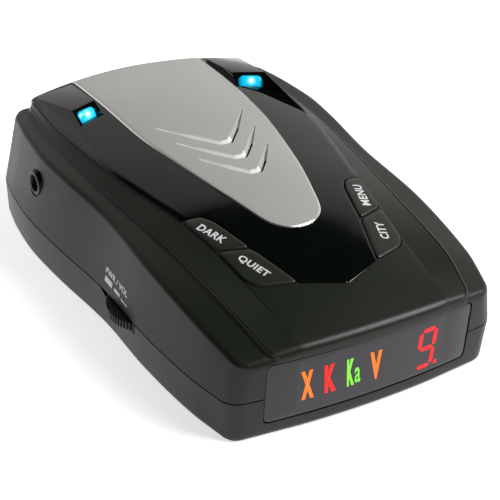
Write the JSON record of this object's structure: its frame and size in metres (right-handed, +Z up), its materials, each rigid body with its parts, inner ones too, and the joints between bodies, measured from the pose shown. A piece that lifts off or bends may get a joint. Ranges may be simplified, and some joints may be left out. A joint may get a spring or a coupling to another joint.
{
  "type": "radar detector",
  "caption": "Dashboard radar detector with a curved two-part case, gloss top panel, silver inlay, alert periscopes, function keys, display, volume thumbwheel and bracket slot.",
  "frame": {"origin": "under the middle of the case, on the base's plane", "axes": "+Y along the length, towards the windscreen; -Y is the display end that faces the driver; +X is the driver's right; +Z up"},
  "size_m": [0.0766, 0.106, 0.0309],
  "materials": {
    "shell": "fine satin texture",
    "gloss_black": "piano gloss",
    "silver": "satin silver paint",
    "display": "smoked, clear",
    "keys": "satin",
    "light_guide": "clear, lit from below",
    "lamps": "clear resin",
    "circuit_board": "solder mask",
    "black_parts": "moulded",
    "black_moving": "moulded",
    "pins": "gold plated",
    "capacitor_cans": "sleeved cans",
    "steel_cans": "tin plated",
    "horn_casting": "die cast",
    "laser_red": "dark red, clear to infrared",
    "sensor": "epoxy",
    "cone": "plain",
    "spring_steel": "bright",
    "screws": "zinc plated",
    "label": "printed film"
  },
  "bodies": {
    "case": {"top_case": "shell", "bottom_case": "shell", "gloss_panel": "gloss_black", "silver_plate": "silver", "display_lens": "display", "periscope_left": "light_guide", "periscope_right": "light_guide", "periscope_lamps": "lamps", "main_board": "circuit_board", "display_board": "circuit_board", "icon_housing": "black_parts", "icon_lamps": "lamps", "digit_module": "black_parts", "board_header": "pins", "key_switches": "black_parts", "processor_chip": "black_parts", "amplifier_chip": "black_parts", "capacitors": "capacitor_cans", "crystal": "steel_cans", "horn_antenna": "horn_casting", "mixer_shield": "steel_cans", "laser_window": "laser_red", "laser_sensor": "sensor", "speaker_frame": "steel_cans", "speaker_cone": "cone", "speaker_contacts": "pins", "volume_control": "black_parts", "power_jack": "black_parts", "release_spring": "spring_steel", "case_screws": "screws", "board_screws": "screws", "rating_label": "label"},
    "volume_wheel": {"volume_wheel": "black_moving"},
    "dark_key": {"dark_button": "keys"},
    "quiet_key": {"quiet_button": "keys"},
    "menu_key": {"menu_button": "keys"},
    "city_key": {"city_button": "keys"},
    "release_latch": {"release_button": "black_moving"}
  },
  "joints": [
    {"name": "volume_turn", "type": "hinge", "parent": "case", "child": "volume_wheel", "pos_m": [-0.0285, -0.013, 0.0082], "axis": [0, 0, 1], "range_deg": [-150, 150]},
    {"name": "dark_press", "type": "slide", "parent": "case", "child": "dark_key", "axis": [0, 0, -1], "range_m": [0, 0.0005], "stiffness_N_per_m": 1500},
    {"name": "quiet_press", "type": "slide", "parent": "case", "child": "quiet_key", "axis": [0, 0, -1], "range_m": [0, 0.0005], "stiffness_N_per_m": 1500},
    {"name": "menu_press", "type": "slide", "parent": "case", "child": "menu_key", "axis": [0, 0, -1], "range_m": [0, 0.0005], "stiffness_N_per_m": 1500},
    {"name": "city_press", "type": "slide", "parent": "case", "child": "city_key", "axis": [0, 0, -1], "range_m": [0, 0.0005], "stiffness_N_per_m": 1500},
    {"name": "release_press", "type": "slide", "parent": "case", "child": "release_latch", "axis": [0, 0, 1], "range_m": [0, 0.0015], "stiffness_N_per_m": 900, "deforming": ["release_spring"]}
  ]
}
